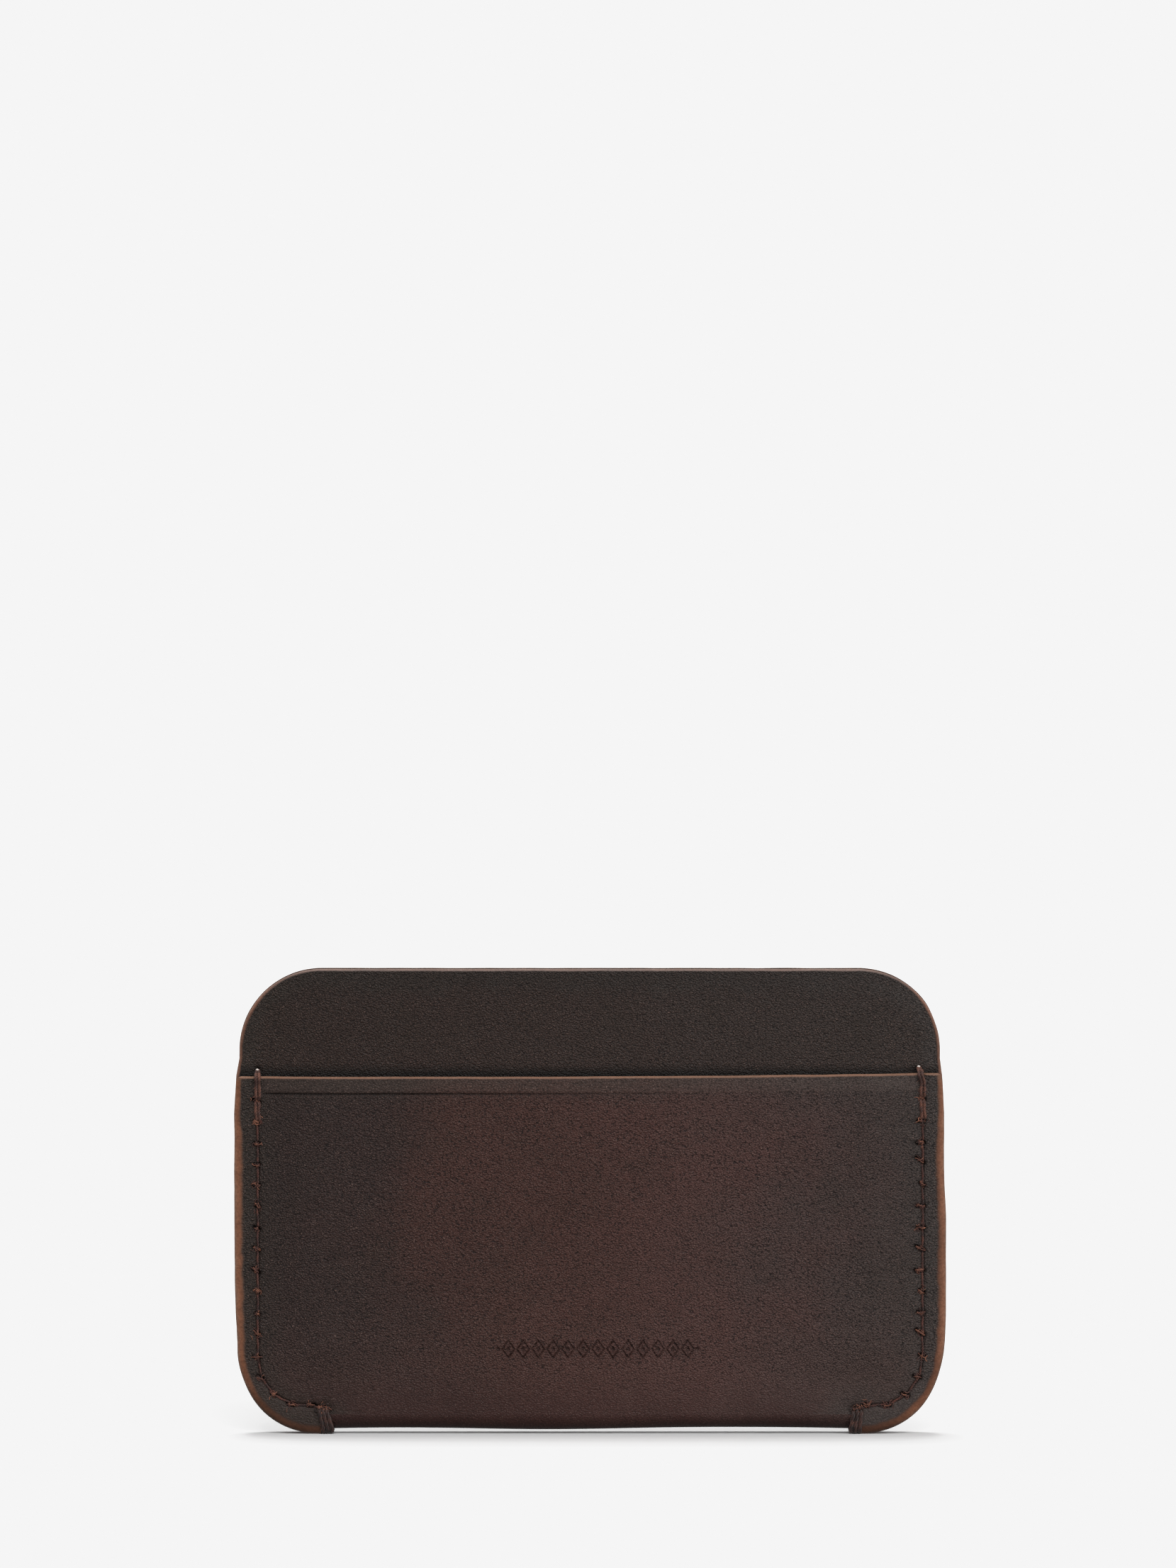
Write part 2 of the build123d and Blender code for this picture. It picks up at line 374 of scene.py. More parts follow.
def wall_skin(x, z, seed):
    """Depth of a wall's outer face, before its edges, seams and marks."""
    broad, small = 0.07 * waves(x, z, 17, seed), 0.018 * waves(x, z, 4.5, seed + 1)
    swell = (broad + small) * smooth((z - 1) / 6)
    return BORDER_DEPTH + WALL_RISE * bow(x, z) + swell - seam_pull(x, z)[0]


def side_inset(x, z):
    """Distance from the nearest side edge of a wall."""
    return distance_to(np.abs(x), z, wall_cut_path(0.8))


def wall_outer(x, z, seed, marked):
    """Depth of a wall's outer face, with everything pressed into it, and its values."""
    inset, drop = side_inset(x, z), MOUTH - z
    pressed, pit_shade = seam_press(x, z)
    dimple, hollow = tack_press(x, z)
    fading = 0.1 + 0.9 * smooth(0.45 - x / HALF_WIDTH)
    crease = bell(drop - CREASE_DROP, CREASE[1]) * between_seams(x) * fading
    depth = wall_skin(x, z, seed) - pressed - dimple - CREASE[0] * crease
    flattened = 0.05 * smooth((CREASE_DROP - drop) / CREASE_DROP)
    depth -= flattened * strip(x, z)
    mark = ornament(x, z) if marked else np.zeros(len(x))
    depth -= mark + np.maximum(round_off(inset, SIDE_ROUND), round_off(drop, MOUTH_ROUND))
    band = MOUTH_BAND + (SIDE_BAND - MOUTH_BAND) * smooth(drop / 12)
    edge = np.minimum(inset / band, drop / MOUTH_ROUND)
    # Painted shade in the seams' grooves and slits, the tack's dimple, the crease and the ornament
    pit_shade = np.maximum.reduce([pit_shade, hollow, 0.75 * crease, 2.6 * mark])
    return depth, face_values(edge, np.minimum(inset, drop + 3), pit_shade, strip(x, z))


def wall_inner(x, z):
    """Depth of a wall's inner face."""
    near = np.minimum(side_inset(x, z), MOUTH - z)
    return DIVIDER_THICKNESS + CLEARANCE + WALL_RISE * bow(x, z) + round_off(near, INNER_ROUND)


def face_values(edge, inset, pit_shade=0.0, strip_mask=0.0):
    """Per-vertex values for the material: distance from a cut edge, as a share of its
    radius or band and in mm, the painted shade of a pressed mark, and the strip at the mouth."""
    columns = [np.broadcast_to(column, len(edge)) for column in (edge, inset, pit_shade, strip_mask)]
    return np.column_stack(columns)


def divider_inset(x, z, height):
    """Distance from the nearest cut edge of a divider."""
    return distance_to(np.abs(x), z, np.vstack([divider_run(height, 0.8), [(0, height)]]))


def divider_outer(x, z, height, seed):
    """Depth of a divider's outer face, and its values."""
    swell = 0.05 * waves(x, z, 15, seed) * smooth((z - MOUTH) / 4)
    depth = DIVIDER_THICKNESS - CLEARANCE + DIVIDER_RISE * bow(x, z) + swell
    radius = INNER_ROUND + (RIM_ROUND - INNER_ROUND) * smooth(z - MOUTH + 1)
    radius -= (RIM_ROUND - TOP_RIM_ROUND) * smooth((z - height + 6) / 5)
    inset = divider_inset(x, z, height)
    pressed, pit_shade = start_press(x, z)
    return depth - pressed - round_off(inset, radius), face_values(inset / radius, inset, pit_shade)


def divider_inner(x, z, height):
    """Depth of a divider's inner face. The two faces press together outside the seams,
    so that no light shows between them, and stand clear of each other inside."""
    apart = bow(x, z)
    edge = round_off(divider_inset(x, z, height), DIVIDER_INNER_ROUND)
    return CLEARANCE * (np.clip(apart / 0.2, 0, 1) - 0.2) + DIVIDER_RISE * apart + edge


def mouth_rise(x):
    """The mouth was cut a little out of level: it is low on the left and rises from a
    quarter of the way left of the middle to the right seam."""
    lowest, rise, start = -0.15, 0.47, -0.25
    return lowest + rise * np.clip((x / SEAM_X - start) / (1 - start), 0, 1) ** 1.5


def drift(x, z, seed):
    """Small uneven shifts in a sheet's plane, none at the fold. Outside the seams, the
    bottom corners are eased and the right edge leans in above the middle."""
    beyond = np.hypot(np.clip(np.abs(x) - TURN_X, 0, None), np.clip(TURN_Z - z, 0, None)) - SEAM_RADIUS
    most_eased, easing = 8, 0.5
    spread = np.where(z < most_eased, 5.5, np.where(x < 0, 9.5, 4.5))
    corner = easing * np.sign(x) * bell(z - most_eased, spread)
    lean_from, lean_in, back_out = 30, 0.27, 0.12
    lean = lean_in * smooth((z - lean_from) / 8) - back_out * smooth((z - MOUTH) / 3)
    lean = np.where(x > 0, lean, 0.0)
    outside = smooth(beyond / 2.8)
    above_fold = smooth((z - FOLD_AXIS) / 8)
    return (x - (corner + lean) * outside + 0.05 * waves(x, z, 3.1, seed) * above_fold,
            z + 0.04 * waves(x, z, 4.3, seed + 2) * above_fold)


def wall_drift(x, z, seed):
    """The same for a wall, with its mouth out of level."""
    x, z = drift(x, z, seed)
    return x, z + mouth_rise(x) * np.clip(z / MOUTH, 0, 1) ** 4


# ---- meshes

VALUES = ("edge", "inset", "pit_shade", "strip")

# Material slots of the leather pieces
SKIN, FLESH = 0, 1


def add_object(name, data):
    """A new object in the scene, from a mesh, a camera or a light."""
    made = bpy.data.objects.new(name, data)
    bpy.context.scene.collection.objects.link(made)
    return made


class Builder:
    """Collects a piece's vertices, faces and per-vertex values."""

    def __init__(self):
        self.places, self.faces, self.slots, self.values = [], [], [], []
        self.count = 0

    def add(self, places, faces, slot=0, values=None):
        """Adds vertices and the faces between them, and returns their offset."""
        start = self.count
        self.places.append(np.asarray(places, float))
        self.count += len(places)
        self.faces += [tuple(int(i) + start for i in face) for face in faces]
        self.slots += [slot] * len(faces)
        self.values.append(np.zeros((len(places), len(VALUES))) if values is None else values)
        return start

    def link(self, faces, slot=0):
        """Adds faces between vertices that are already there."""
        self.faces += [tuple(int(i) for i in face) for face in faces]
        self.slots += [slot] * len(faces)

    def make(self, name, materials, weld=0.0, crisp=40):
        """The finished object, in metres."""
        mesh = bpy.data.meshes.new(name)
        mesh.from_pydata((np.vstack(self.places) * MM).tolist(), [], self.faces)
        mesh.polygons.foreach_set("material_index", self.slots)
        mesh.polygons.foreach_set("use_smooth", [True] * len(self.faces))
        for column, label in enumerate(VALUES):
            layer = mesh.attributes.new(label, "FLOAT", "POINT")
            layer.data.foreach_set("value", np.vstack(self.values)[:, column].astype(np.float32))
        for material in materials:
            mesh.materials.append(material)
        if weld:
            weld_mesh(mesh, weld)
        mesh.set_sharp_from_angle(angle=math.radians(crisp))
        return add_object(name, mesh)


def weld_mesh(mesh, distance):
    """Joins vertices that lie together and turns all faces outward."""
    shape = bmesh.new()
    shape.from_mesh(mesh)
    bmesh.ops.remove_doubles(shape, verts=shape.verts, dist=distance * MM)
    bmesh.ops.recalc_face_normals(shape, faces=shape.faces)
    shape.to_mesh(mesh)
    shape.free()


def thin_out(groups):
    """Keeps points, first groups first, that are clear of the ones kept before."""
    cell, kept, buckets = 0.5, [], {}
    for points, gap in groups:
        for x, z in points:
            i, j = int(x // cell), int(z // cell)
            span = int(gap // cell) + 1
            close = any((x - kept[k][0]) ** 2 + (z - kept[k][1]) ** 2 < gap * gap
                        for a in range(i - span, i + span + 1)
                        for b in range(j - span, j + span + 1)
                        for k in buckets.get((a, b), ()))
            if not close:
                buckets.setdefault((i, j), []).append(len(kept))
                kept.append((x, z))
    return np.array(kept)


def inward(outline):
    """The inward direction at each point of an outline run anticlockwise."""
    along = np.roll(outline, -1, axis=0) - np.roll(outline, 1, axis=0)
    along /= np.linalg.norm(along, axis=1)[:, None]
    return np.column_stack([-along[:, 1], along[:, 0]])


def rings(outline, insets):
    """Rows of points that follow an outline at several distances inside it."""
    normals = inward(outline)
    closed = np.vstack([outline, outline[:1]])
    rows = []
    for inset in insets:
        row = outline + normals * inset
        row = row[inside(row[:, 0], row[:, 1], outline)]
        rows.append(row[distance_to(row[:, 0], row[:, 1], closed) > inset * 0.93])
    return np.vstack(rows)


def grid(low, high, step):
    """A square grid of points in a box."""
    xs = np.arange(low[0] + step / 2, high[0], step)
    zs = np.arange(low[1] + step / 2, high[1], step)
    return np.column_stack([a.ravel() for a in np.meshgrid(xs, zs)])


def beside(line, offsets, step):
    """Points along both sides of a line, at several distances from it."""
    dense = np.vstack([through(line, step), line[-1:]])
    along = np.gradient(dense, axis=0)
    along /= np.linalg.norm(along, axis=1)[:, None]
    across = np.column_stack([-along[:, 1], along[:, 0]])
    return np.vstack([dense + across * offset for offset in offsets])


def triangulate(outline, groups):
    """Points and triangles that fill an outline; the outline's points come first."""
    extra = [(points[inside(points[:, 0], points[:, 1], outline)], gap) for points, gap in groups]
    points = thin_out([(outline, 0.0)] + extra)
    ring = list(range(len(outline)))
    result = delaunay_2d_cdt([Vector(p) for p in points], [], [ring], 1, 1e-5)
    places, faces, origins = np.array([tuple(v) for v in result[0]]), result[2], result[3]
    order = np.full(len(points), -1)
    for new, olds in enumerate(origins):
        order[list(olds)] = new
    return places, faces, order[ring]


def add_plate(build, outline, outer, inner, outer_points, inner_points, facing, shift,
              open_edges=(), rows=2):
    """Adds a sheet: two faces and the cut edge between them.

    outer and inner give depths, shift moves points in the sheet's plane, and
    open_edges are the outline's edges that join another part, with no wall.
    """
    def placed(flat, depth):
        x, z = shift(flat[:, 0], flat[:, 1])
        return np.column_stack([x, facing * depth, z])

    turn = 1 if facing == FRONT else -1
    borders = []
    for depth_of, points, slot, way in ((outer, outer_points, SKIN, turn),
                                        (inner, inner_points, FLESH, -turn)):
        flat, faces, border = triangulate(outline, points)
        depth, values = depth_of(flat[:, 0], flat[:, 1])
        start = build.add(placed(flat, depth), [face[::way] for face in faces], slot, values)
        borders.append((start + border, placed(flat[border], depth[border])))
    (outer_ids, outer_at), (inner_ids, inner_at) = borders
    chain = [outer_ids]
    for row in range(1, rows + 1):
        t = row / (rows + 1)
        middle = outer_at * (1 - t) + inner_at * t
        chain.append(np.arange(len(middle)) + build.add(middle, []))
    chain.append(inner_ids)
    size = len(outline)
    for first, second in zip(chain, chain[1:]):
        quads = [(first[k], second[k], second[(k + 1) % size], first[(k + 1) % size])[::turn]
                 for k in range(size) if k not in open_edges]
        build.link(quads)


# ---- materials

def linear(red, green, blue):
    """A display colour from 0 to 255 as linear light."""
    levels = [c / 255 for c in (red, green, blue)]
    return [c / 12.92 if c <= 0.04045 else ((c + 0.055) / 1.055) ** 2.4 for c in levels] + [1.0]


def blend(*stops):
    """The stops of a blend, each given as its place from 0 to 1 and a display colour."""
    return [(place, linear(*colour)) for place, *colour in stops]


# Tones of the faces, from the left side of the case to the right: the leather's own colour with a
# painted sheen, darker on the left and greyer on the right, where the light comes from. The rubbed
# rims' tones carry the same painted sheen on the right.
WRAP_TONES_AND_SHEEN = blend((0.0, 58, 45, 42), (0.18, 58, 44, 41), (0.34, 82, 52, 45), (0.5, 86, 56, 50),
                   (0.68, 93, 63, 58), (0.82, 77, 62, 59), (1.0, 73, 62, 58))
DIVIDER_TONES_AND_SHEEN = blend((0.0, 56, 43, 38), (0.2, 57, 43, 38), (0.5, 62, 48, 43), (0.8, 64, 53, 49),
                      (1.0, 66, 56, 52))
DARK_RIM_AND_SHEEN = blend((0.0, 57, 49, 43), (0.55, 58, 50, 45), (1.0, 77, 70, 67))

# Tones of the cut edges, from the cut inward
RAW_TONES = blend((0.0, 186, 144, 120), (0.3, 168, 112, 83), (0.65, 138, 91, 68), (0.9, 104, 74, 58),
                  (1.0, 80, 59, 49))
RIM_TONES = blend((0.0, 176, 138, 120), (0.4, 142, 100, 82), (0.75, 104, 74, 60), (1.0, 42, 34, 30))


class Nodes:
    """Short calls for building a material's nodes."""

    # The mix node has sockets for each kind of value; these are the factor and the colours
    COLOUR_MIX_INPUTS = (0, 6, 7)
    COLOUR_MIX_OUTPUT = 2

    def __init__(self, name):
        self.material = bpy.data.materials.new(name)
        self.material.use_nodes = True
        self.tree = self.material.node_tree
        self.shader = self.tree.nodes["Principled BSDF"]
        self.place = self.make("ShaderNodeTexCoord").outputs["Object"]

    def make(self, kind, inputs=None, **settings):
        """A new node, with its inputs fed."""
        made = self.tree.nodes.new(kind)
        for key, value in settings.items():
            setattr(made, key, value)
        for key, value in (inputs or {}).items():
            self.feed(made.inputs[key], value)
        return made

    def feed(self, socket, value):
        """Links another node's output to an input, or sets the input."""
        if isinstance(value, bpy.types.NodeSocket):
            self.tree.links.new(value, socket)
        else:
            socket.default_value = value

    def value(self, label):
        """One of the mesh's per-vertex values."""
        return self.make("ShaderNodeAttribute", attribute_name=label).outputs["Fac"]

    def math(self, operation, a, b=0.0):
        """An operation on two values."""
        made = self.make("ShaderNodeMath", operation=operation)
        self.feed(made.inputs[0], a)
        self.feed(made.inputs[1], b)
        return made.outputs[0]

    def times(self, a, b):
        """The product of two values."""
        return self.math("MULTIPLY", a, b)

    def plus(self, a, b):
        """The sum of two values."""
        return self.math("ADD", a, b)

    def ramp(self, value, low, high, to_low=0.0, to_high=1.0, smoothed=True):
        """Runs from to_low to to_high as a value goes from low to high, held at both ends."""
        keys = {"Value": value, "From Min": low, "From Max": high, "To Min": to_low, "To Max": to_high}
        kind = "SMOOTHSTEP" if smoothed else "LINEAR"
        return self.make("ShaderNodeMapRange", keys, interpolation_type=kind).outputs["Result"]

    def blend_along(self, value, stops):
        """Runs through (place, colour) stops as a value goes from 0 to 1."""
        made = self.make("ShaderNodeValToRGB", {"Fac": value})
        made.color_ramp.interpolation = "B_SPLINE"
        elements = made.color_ramp.elements
        for _ in stops[2:]:
            elements.new(0.5)
        for element, (place, colour) in zip(elements, stops):
            element.position, element.color = place, colour
        return made.outputs["Color"]

    def noise(self, scale, detail=2.0, roughness=0.5, distortion=0.0, at=None):
        """Smooth noise with scale lumps to a metre, at the object's own place or another."""
        keys = {"Vector": at or self.place, "Scale": scale, "Detail": detail,
                "Roughness": roughness, "Distortion": distortion}
        return self.make("ShaderNodeTexNoise", keys).outputs["Fac"]

    def mix(self, factor, a, b):
        """Colour a where the factor is 0, colour b where it is 1."""
        made = self.make("ShaderNodeMix", data_type="RGBA")
        for socket, value in zip(self.COLOUR_MIX_INPUTS, (factor, a, b)):
            self.feed(made.inputs[socket], value)
        return made.outputs[self.COLOUR_MIX_OUTPUT]

    def bump(self, height, distance, strength, under=None):
        """A normal that follows a height, on top of another normal if there is one."""
        keys = {"Height": height, "Distance": distance, "Strength": strength}
        if under:
            keys["Normal"] = under
        return self.make("ShaderNodeBump", keys).outputs["Normal"]

    def finish(self, **sockets):
        """Feeds the shader's inputs and returns the material."""
        for key, value in sockets.items():
            self.feed(self.shader.inputs[key.replace("_", " ")], value)
        return self.material


def face_tone(n, place, tones, rim_width):
    """The colour of a sheet's face, with place its (across, up) in metres.

    tones run from the left side of the case to the right, with a painted sheen that darkens the
    left and greys the right. The face is rubbed darker and cooler along its cut edges, over
    rim_width mm, and the rim's tone has the same painted sheen on the right.
    """
    across, up = place
    cloud = n.noise(42.0, 4.0, 0.6)
    mottle = n.noise(150.0, 3.0, 0.6, 0.4)
    drifted = n.plus(across, n.ramp(cloud, 0.3, 0.7, -0.008, 0.008))
    tone = n.blend_along(n.ramp(drifted, -0.05, 0.05, smoothed=False), tones)
    tone = n.mix(n.ramp(mottle, 0.42, 0.72, 0.0, 0.18), tone, linear(50, 44, 36))
    tone = n.mix(n.ramp(up, 0.006, 0.022, 0.26, 0.0), tone, linear(104, 74, 68))

    # Painted shade makes the fold a deeper red brown, most of all on the right, where the light catches
    # it.
    low = n.plus(up, n.ramp(cloud, 0.3, 0.7, -0.002, 0.002))
    to_right = n.ramp(across, 0.0, 0.035, 0.78, 0.95)
    painted_fold_shade = n.times(n.ramp(low, 0.0, 0.0095, 1.0, 0.0), to_right)
    tone = n.mix(painted_fold_shade, tone, linear(56, 32, 29))

    rim = n.plus(n.value("inset"), n.ramp(mottle, 0.3, 0.7, -1.0, 1.0))
    rim_and_sheen_tone = n.blend_along(n.ramp(across, -0.05, 0.05, smoothed=False), DARK_RIM_AND_SHEEN)
    return n.mix(n.ramp(rim, 1.5, rim_width, 0.8, 0.0), tone, rim_and_sheen_tone)


def grain(n):
    """Pebbles about a third of a millimetre across, drawn out a little on the slant, and
    finer pores among them."""
    slant = n.make("ShaderNodeMapping", {"Vector": n.place, "Rotation": (0, math.radians(38), 0),
                                         "Scale": (0.86, 1.0, 1.06)}).outputs["Vector"]
    bent = n.make("ShaderNodeTexNoise", {"Vector": slant, "Scale": 2600.0, "Detail": 2.0})
    offset = n.make("ShaderNodeVectorMath", operation="SCALE")
    n.feed(offset.inputs[0], bent.outputs["Color"])
    offset.inputs["Scale"].default_value = 0.00022
    moved = n.make("ShaderNodeVectorMath", operation="ADD")
    n.feed(moved.inputs[0], slant)
    n.feed(moved.inputs[1], offset.outputs[0])
    place = moved.outputs[0]
    pebbles = n.make("ShaderNodeTexVoronoi", {"Vector": place, "Scale": 4500.0, "Smoothness": 0.3},
                     feature="SMOOTH_F1").outputs["Distance"]
    return pebbles, n.noise(4600.0, 3.0, 0.6, at=place)


def raw_tone(n, place, edge, tones, high_edge, high_tone):
    """The colour of a cut edge: the tan inside, streaked along the fibres and darker in
    places, with painted shade towards the bottom, reaching higher on the left, and at the
    right end. Between the two heights of high_edge it goes over to high_tone."""
    across, up = place
    fibres = n.noise(2600.0, 3.0, 0.6, 0.6)
    burnish = n.noise(130.0, 3.0, 0.6)
    raw = n.blend_along(edge, tones)
    raw = n.mix(n.ramp(fibres, 0.35, 0.7, 0.0, 0.4), raw, linear(70, 42, 30))
    reach = n.ramp(across, -0.01, 0.01, 0.012, 0.0035)
    # Random burnish spots, and painted shade towards the bottom of the edge
    burnish_and_painted_shade = n.plus(n.ramp(burnish, 0.48, 0.75, 0.0, 0.45), n.ramp(up, 0.0005, reach, 0.75, 0.0))
    raw = n.mix(burnish_and_painted_shade, raw, linear(52, 33, 25))
    # Painted shade at the right end, against the light from the right
    raw = n.mix(n.ramp(across, 0.03, 0.05, 0.0, 0.2), raw, linear(78, 44, 32))
    return n.mix(n.times(n.ramp(up, *high_edge), 0.6), raw, high_tone)


def leather(name, tones, raw_tones, high_edge, high_tone, rim_width, mouth_shade):
    """Dark pull-up leather with a fine pebble grain and burnished tan cut edges.

    mouth_shade paints shade on what stands just above the mouth, and darkens the face towards its top.
    """
    n = Nodes(name)
    split = n.make("ShaderNodeSeparateXYZ", {"Vector": n.place})
    up = split.outputs["Z"]
    place = split.outputs["X"], up
    tone = face_tone(n, place, tones, rim_width)

    # The grain is stretched flat at the fold.
    pebbles, pores = grain(n)
    grained = n.ramp(up, 0.002, 0.012, 0.45, 1.0)
    pits = n.times(n.ramp(pebbles, 0.3, 0.75), n.ramp(pores, 0.38, 0.62))
    pits = n.times(pits, grained)
    tops = n.times(n.ramp(pebbles, 0.45, 0.1), n.ramp(pores, 0.45, 0.7))
    tops = n.times(tops, grained)
    tone = n.mix(n.ramp(n.noise(1500.0, 2.0, 0.6), 0.35, 0.65, 0.0, 0.14), tone, linear(30, 21, 19))
    # Painted shade darkens the grain's hollows and painted highlights lighten its tops
    tone = n.mix(n.times(pits, 0.9), tone, linear(18, 12, 11))
    tone = n.mix(n.times(tops, 0.85), tone, linear(136, 110, 101))

    # What is pressed: the strip along the mouth gets a painted sheen, and the marks go dark with painted
    # shade.
    pressed_strip = n.value("strip")
    tone = n.mix(n.times(pressed_strip, 0.07), tone, linear(120, 98, 88))
    tone = n.mix(n.math("MINIMUM", n.value("pit_shade"), 0.92), tone, linear(17, 11, 9))
    if mouth_shade:
        # Darker towards the divider's top, and painted shade just above the mouth, behind the wall's
        # edge
        tone = n.mix(n.ramp(up, 0.0600, 0.0652, 0.0, 0.3), tone, linear(36, 28, 26))
        above = n.math("SUBTRACT", up, MOUTH * MM)
        tone = n.mix(n.ramp(above, 0.0, 0.0019, 0.92, 0.0), tone, linear(12, 9, 7))

    edge = n.plus(n.value("edge"), n.ramp(n.noise(500.0, 3.0), 0.3, 0.7, -0.09, 0.09))
    raw = raw_tone(n, place, edge, raw_tones, high_edge, high_tone)
    cut = n.ramp(edge, 0.78, 1.2, 1.0, 0.0)

    height = n.plus(n.times(pebbles, -0.8), n.times(pores, 0.6))
    for mask, share in ((cut, 0.8), (pressed_strip, 0.6)):
        height = n.times(height, n.math("SUBTRACT", 1.0, n.times(mask, share)))
    height = n.times(height, grained)
    normal = n.bump(height, 0.00019, 1.0)
    normal = n.bump(n.noise(210.0, 3.0), 0.0002, 0.3, normal)
    gloss = n.ramp(n.noise(420.0, 3.0), 0.3, 0.7, 0.42, 0.54)
    gloss = n.plus(gloss, n.times(pits, 0.15))
    n.shader.inputs["Specular IOR Level"].default_value = 0.26
    return n.finish(Base_Color=n.mix(cut, tone, raw), Roughness=gloss, Normal=normal)


def flesh(name):
    """The unfinished inner side of the leather: soft, matt and fibrous."""
    n = Nodes(name)
    nap = n.noise(2200.0, 4.0, 0.65)
    colour = n.mix(n.ramp(nap, 0.3, 0.7), linear(58, 38, 30), linear(96, 66, 50))
    colour = n.mix(n.ramp(n.noise(160.0, 3.0), 0.35, 0.7, 0.0, 0.5), colour, linear(46, 32, 27))
    n.shader.inputs["Specular IOR Level"].default_value = 0.15
    n.shader.inputs["Sheen Weight"].default_value = 0.2
    rough = n.ramp(nap, 0.2, 0.8, 0.82, 0.95)
    return n.finish(Base_Color=colour, Roughness=rough, Normal=n.bump(nap, 0.00015, 0.8))


def yarn(name, dark, light, shine):
    """Waxed polyester thread, its plies lit unevenly along their length."""
    n = Nodes(name)
    tint = n.noise(900.0, 3.0, 0.6)
    colour = n.mix(n.ramp(tint, 0.35, 0.68), dark, light)
    lint = n.noise(9000.0, 2.0, 0.6)
    colour = n.mix(n.ramp(lint, 0.5, 0.8, 0.0, 0.35), colour, light)
    n.shader.inputs["Specular IOR Level"].default_value = 0.5
    n.shader.inputs["Sheen Weight"].default_value = 0.15
    rough = n.ramp(tint, 0.3, 0.7, shine, shine + 0.15)
    return n.finish(Base_Color=colour, Roughness=rough, Normal=n.bump(lint, 0.00004, 0.5))


# ---- camera, light, floor

def look_at(thing, target):
    """Turns a camera or a light towards a point."""
    thing.rotation_euler = (Vector(target) - thing.location).to_track_quat("-Z", "Y").to_euler()


def add_camera():
    """A long lens a little above the case, which sits low in the frame."""
    distance, elevation = 1.2265, math.radians(4.0)
    middle = DIVIDER_TOP[BACK] * MM / 2
    aside, aim = -0.0003, 0.0913
    data = bpy.data.cameras.new("camera")
    data.lens, data.sensor_width, data.clip_start = 200.0, 36.0, 0.05
    camera = add_object("camera", data)
    height = middle + distance * math.sin(elevation)
    camera.location = (aside, -distance * math.cos(elevation), height)
    look_at(camera, (aside, 0.0, aim))
    bpy.context.scene.camera = camera


def add_sun(name, towards, strength, spread):
    """A far soft light, the same all over the floor; spread is its width in degrees."""
    data = bpy.data.lights.new(name, "SUN")
    data.energy, data.angle = strength, math.radians(spread)
    sun = add_object(name, data)
    sun.location = -Vector(towards)
    look_at(sun, (0, 0, 0))


def add_sheet(name, corners, material):
    """A flat sheet of paper that lights nothing else."""
    mesh = bpy.data.meshes.new(name)
    mesh.from_pydata(corners, [], [(0, 1, 2, 3)])
    mesh.materials.append(material)
    sheet = add_object(name, mesh)
    sheet.visible_diffuse = sheet.visible_glossy = False
    return sheet


def add_floor():
    """A plain pale floor, and a card far behind it that is as bright. In metres."""
    n = Nodes("floor_paper")
    tint = n.mix(n.noise(3.0), linear(243, 243, 243), linear(244, 244, 244))
    paper = n.finish(Base_Color=tint, Roughness=0.9)
    n.shader.inputs["Specular IOR Level"].default_value = 0.0
    far, wide, tall = 24.0, 4.0, 5.0
    ground = [(-wide, -wide, 0), (wide, -wide, 0), (wide, far, 0), (-wide, far, 0)]
    floor = add_sheet("floor", ground, paper)

    glow = Nodes("backdrop_paper").finish(Base_Color=(0, 0, 0, 1), Emission_Color=(1, 1, 1, 1),
                                          Emission_Strength=1.1)
    upright = [(-wide, far, 0), (wide, far, 0), (wide, far, tall), (-wide, far, tall)]
    card = add_sheet("backdrop", upright, glow)
    card.visible_shadow = False


def add_world():
    """Even dim light from above, with little from below."""
    world = bpy.data.worlds.new("studio")
    world.use_nodes = True
    tree = world.node_tree
    place = tree.nodes.new("ShaderNodeTexCoord")
    split = tree.nodes.new("ShaderNodeSeparateXYZ")
    level = tree.nodes.new("ShaderNodeMapRange")
    tree.links.new(place.outputs["Generated"], split.inputs["Vector"])
    tree.links.new(split.outputs["Z"], level.inputs["Value"])
    for key, value in (("From Min", -0.35), ("From Max", 0.35), ("To Min", 0.2), ("To Max", 0.42)):
        level.inputs[key].default_value = value
    tree.links.new(level.outputs["Result"], tree.nodes["Background"].inputs["Strength"])
    tree.nodes["Background"].inputs["Color"].default_value = (1, 1, 1, 1)
    bpy.context.scene.world = world


def set_exposure():
    """Lets the lit paper wash out to one pale grey, as an overexposed backdrop does."""
    view = bpy.context.scene.view_settings
    view.view_transform = "Standard"
    view.use_curve_mapping = True
    curves = view.curve_mapping
    curves.extend = "HORIZONTAL"
    combined = curves.curves[-1]
    pale, bend = linear(245, 245, 245)[0], 0.84
    combined.points[0].location = (0, 0)
    combined.points[1].location = (1, pale)
    combined.points.new(bend, bend)
    for point in combined.points:
        point.handle_type = "VECTOR"
    curves.update()


# ---- leather pieces

# Where the meshes have their points: STEP is the outlines' spacing, RINGS are distances
# inside an outline, and OFFSETS are distances to both sides of a line
STEP = 0.36
WALL_RINGS = (0.05, 0.12, 0.21, 0.33, 0.48, 0.66, 0.86, 1.08, 1.4, 1.9)
DIVIDER_RINGS = (0.04, 0.09, 0.16, 0.25, 0.36, 0.5, 0.8, 1.3)
COARSE_RINGS = (0.06, 0.14, 0.5)
COARSE_STEP = 2.4
SEAM_OFFSETS = (0, 0.1, -0.1, 0.2, -0.2, 0.33, -0.33, 0.5, -0.5, 0.75, -0.75, 1.1, -1.1)
CREASE_OFFSETS = (0, 0.08, -0.08, 0.17, -0.17, 0.3, -0.3, 0.5, -0.5)


